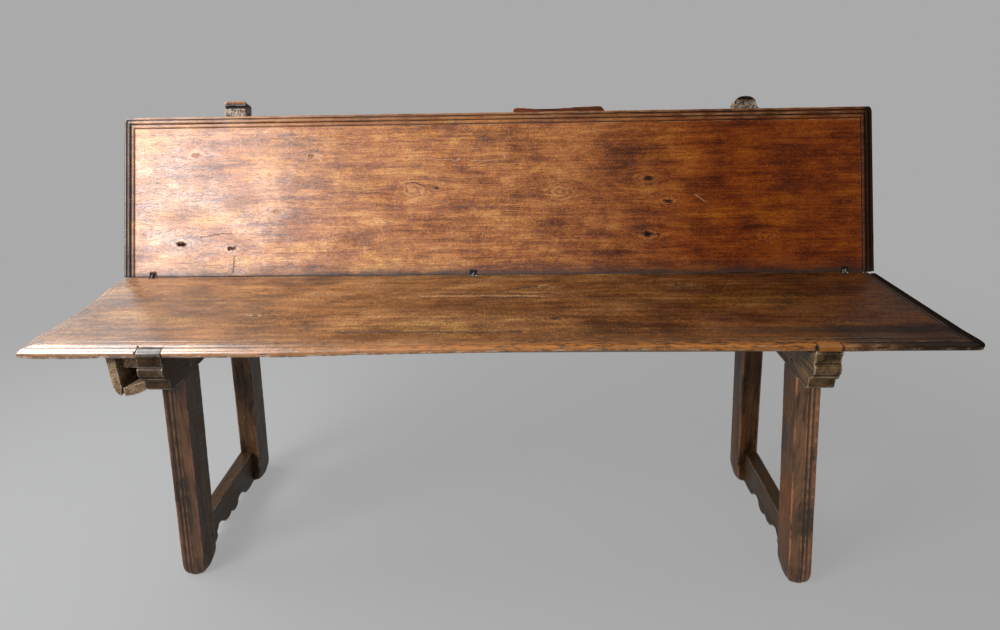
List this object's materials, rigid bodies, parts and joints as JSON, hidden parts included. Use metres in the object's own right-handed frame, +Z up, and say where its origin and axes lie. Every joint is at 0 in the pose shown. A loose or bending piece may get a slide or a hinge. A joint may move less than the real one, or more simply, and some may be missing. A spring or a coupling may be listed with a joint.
{
  "type": "monks bench",
  "caption": "Long walnut bench with a moulded plank seat, a reclined back that folds forward flat onto it, carved bearers, splayed legs and scalloped stretchers.",
  "frame": {"origin": "on the floor, under the middle of the whole bench's bounding box", "axes": "+X along the bench, to the right of someone who stands in front of it; +Y towards the rear; +Z up"},
  "size_m": [1.5594, 0.568, 0.8395],
  "materials": {
    "seat_wood": "waxed walnut, worn and polished by use",
    "back_wood": "waxed walnut with a warm gloss",
    "leg_wood": "dark aged walnut, low sheen",
    "peg_wood": "dark riven pegs, matt",
    "raw_wood": "bare wood, dusty and worm-eaten",
    "iron": "old hand-forged iron, dull"
  },
  "bodies": {
    "root": {"seat_board": "seat_wood", "left_seat_hinge_eye": "iron", "middle_seat_hinge_eye": "iron", "right_seat_hinge_eye": "iron", "left_front_leg": "leg_wood", "left_front_leg_peg": "peg_wood", "left_front_stretcher_peg": "peg_wood", "left_rear_leg": "leg_wood", "left_rear_leg_peg": "peg_wood", "left_rear_stretcher_peg": "peg_wood", "left_stretcher": "leg_wood", "left_bearer": "leg_wood", "right_front_leg": "leg_wood", "right_front_leg_peg": "peg_wood", "right_front_stretcher_peg": "peg_wood", "right_rear_leg": "leg_wood", "right_rear_leg_peg": "peg_wood", "right_rear_stretcher_peg": "peg_wood", "right_stretcher": "leg_wood", "right_bearer": "leg_wood", "pocket_side": "raw_wood", "pocket_floor": "raw_wood", "pocket_block": "raw_wood", "pocket_long_nail": "iron", "pocket_floor_nail": "iron"},
    "back": {"left_back_batten": "leg_wood", "right_back_batten": "leg_wood", "lift_grip": "back_wood", "left_grip_nail": "iron", "right_grip_nail": "iron", "back_board": "back_wood", "left_back_hinge_eye": "iron", "middle_back_hinge_eye": "iron", "right_back_hinge_eye": "iron"}
  },
  "joints": [
    {"name": "back_fold", "type": "hinge", "parent": "root", "child": "back", "pos_m": [0, 0.08209, 0.5006], "axis": [1, 0, 0], "range_deg": [0, 112.5]}
  ]
}
